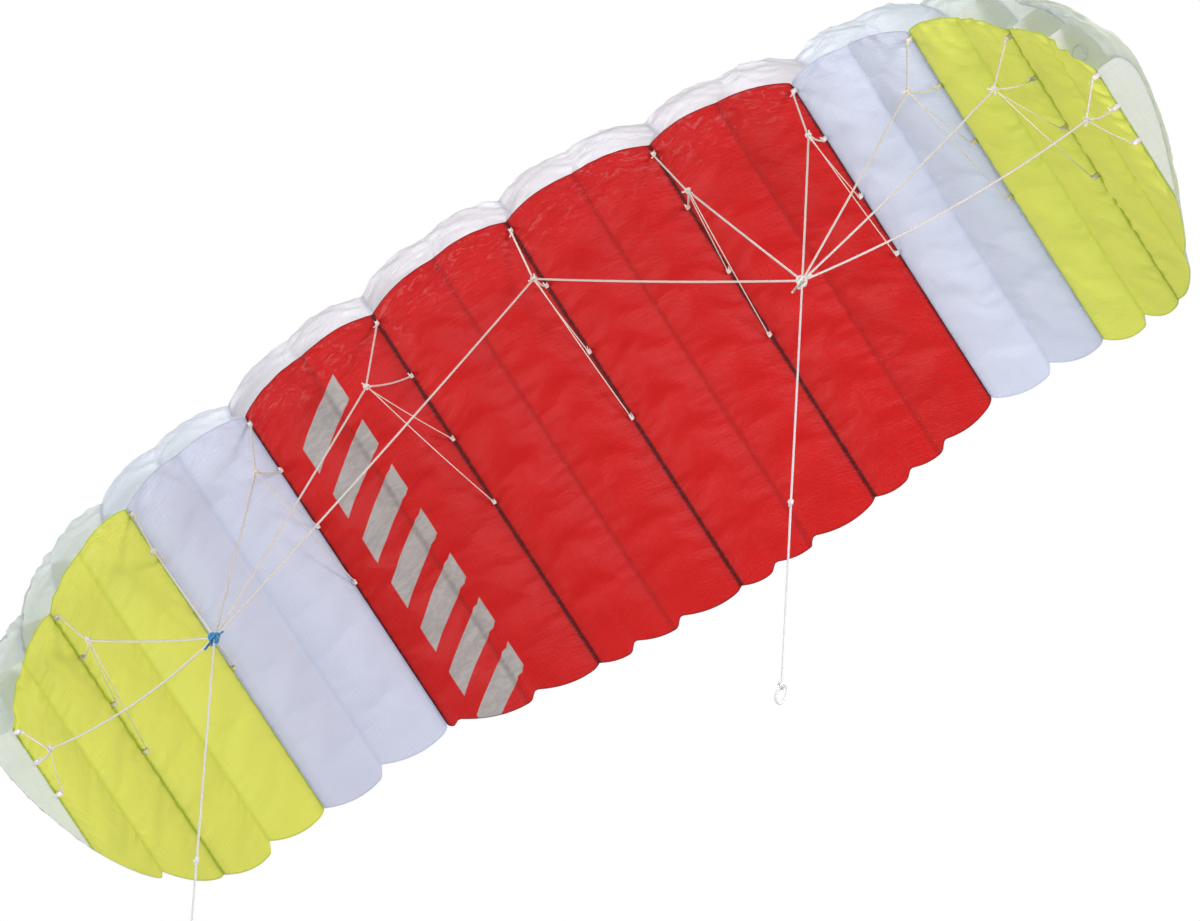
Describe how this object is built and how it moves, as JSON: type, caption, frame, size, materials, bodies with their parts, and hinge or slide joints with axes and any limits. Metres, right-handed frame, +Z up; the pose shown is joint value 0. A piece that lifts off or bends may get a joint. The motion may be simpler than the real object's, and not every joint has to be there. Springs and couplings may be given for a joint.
{
  "type": "ram-air foil kite",
  "caption": "Two-line ram-air foil kite: a soft canopy of open-nosed cells on cloth ribs, with a bridle fan to two tow points, leaders and looped flying lines.",
  "frame": {"origin": "lower leading edge of the centre rib, where the air's lift is taken to hold the canopy", "axes": "+X along the span to the kite's right, +Y from leading edge to trailing edge, +Z up, away from the lines"},
  "size_m": [1.4124, 0.516, 2.3991],
  "materials": {
    "red_ripstop": "coated ripstop nylon, satin, slightly translucent",
    "white_ripstop": "coated ripstop nylon, satin, translucent",
    "yellow_ripstop": "coated ripstop nylon, satin, translucent",
    "upper_ripstop": "thin coated ripstop nylon, translucent",
    "rib_cloth": "thin coated nylon",
    "tab_webbing": "woven tape",
    "bridle_line": "braided line",
    "flying_line": "braided line",
    "blue_cord": "braided cord"
  },
  "bodies": {
    "canopy": {"lower_skin_red": "red_ripstop", "lower_skin_white_left": "white_ripstop", "lower_skin_white_right": "white_ripstop", "upper_skin_center": "upper_ripstop", "rib_center": "rib_cloth", "bridle_tabs_center": "tab_webbing", "bridle_cascade_center": "bridle_line", "main_lines_left": "bridle_line", "main_lines_right": "bridle_line", "main_line_left_8": "bridle_line", "main_line_left_10": "bridle_line", "main_line_right_8": "bridle_line", "main_line_right_10": "bridle_line", "tow_knot_left": "blue_cord", "tow_knot_right": "bridle_line", "rib_left_1": "rib_cloth", "rib_left_2": "rib_cloth", "rib_left_3": "rib_cloth", "rib_left_4": "rib_cloth", "rib_left_5": "rib_cloth", "rib_left_6": "rib_cloth", "bridle_cascade_left_2": "bridle_line", "bridle_cascade_left_4": "bridle_line", "bridle_cascade_left_6": "bridle_line", "rib_right_1": "rib_cloth", "rib_right_2": "rib_cloth", "rib_right_3": "rib_cloth", "rib_right_4": "rib_cloth", "rib_right_5": "rib_cloth", "rib_right_6": "rib_cloth", "bridle_cascade_right_2": "bridle_line", "bridle_cascade_right_4": "bridle_line", "bridle_cascade_right_6": "bridle_line"},
    "tip_left": {"lower_skin_yellow_left": "yellow_ripstop", "upper_skin_left_tip": "upper_ripstop", "rib_left_7": "rib_cloth", "rib_left_8": "rib_cloth", "rib_left_9": "rib_cloth", "rib_left_10": "rib_cloth", "bridle_tabs_left_tip": "tab_webbing", "bridle_cascade_left_8": "bridle_line", "bridle_cascade_left_10": "bridle_line"},
    "leader_left": {"leader_left": "flying_line", "leader_knot_left": "flying_line"},
    "line_left": {"flying_line_left": "flying_line", "end_loop_left": "flying_line"},
    "tip_right": {"lower_skin_yellow_right": "yellow_ripstop", "upper_skin_right_tip": "upper_ripstop", "rib_right_7": "rib_cloth", "rib_right_8": "rib_cloth", "rib_right_9": "rib_cloth", "rib_right_10": "rib_cloth", "bridle_tabs_right_tip": "tab_webbing", "bridle_cascade_right_8": "bridle_line", "bridle_cascade_right_10": "bridle_line"},
    "leader_right": {"leader_right": "flying_line", "leader_knot_right": "flying_line"},
    "line_right": {"flying_line_right": "flying_line", "end_loop_right": "flying_line"}
  },
  "joints": [
    {"name": "tip_fold_left", "type": "hinge", "parent": "canopy", "child": "tip_left", "pos_m": [-0.49967, 0.021, -0.15773], "axis": [0, -1, 0], "range_deg": [0, 20], "stiffness_Nm_per_rad": 4, "deforming": ["main_line_left_8", "main_line_left_10"]},
    {"name": "leader_swing_left", "type": "hinge", "parent": "canopy", "child": "leader_left", "pos_m": [-0.347, 0.031, -0.917], "axis": [1, 0, 0], "range_deg": [-60, 60]},
    {"name": "line_swing_left", "type": "hinge", "parent": "leader_left", "child": "line_left", "pos_m": [-0.32101, 0.031, -1.70457], "axis": [0, 1, 0], "range_deg": [-45, 45]},
    {"name": "tip_fold_right", "type": "hinge", "parent": "canopy", "child": "tip_right", "pos_m": [0.49967, 0.021, -0.15773], "axis": [0, 1, 0], "range_deg": [0, 20], "stiffness_Nm_per_rad": 4, "deforming": ["main_line_right_8", "main_line_right_10"]},
    {"name": "leader_swing_right", "type": "hinge", "parent": "canopy", "child": "leader_right", "pos_m": [0.347, 0.031, -0.917], "axis": [1, 0, 0], "range_deg": [-60, 60]},
    {"name": "line_swing_right", "type": "hinge", "parent": "leader_right", "child": "line_right", "pos_m": [0.32101, 0.031, -1.70457], "axis": [0, 1, 0], "range_deg": [-45, 45]}
  ]
}
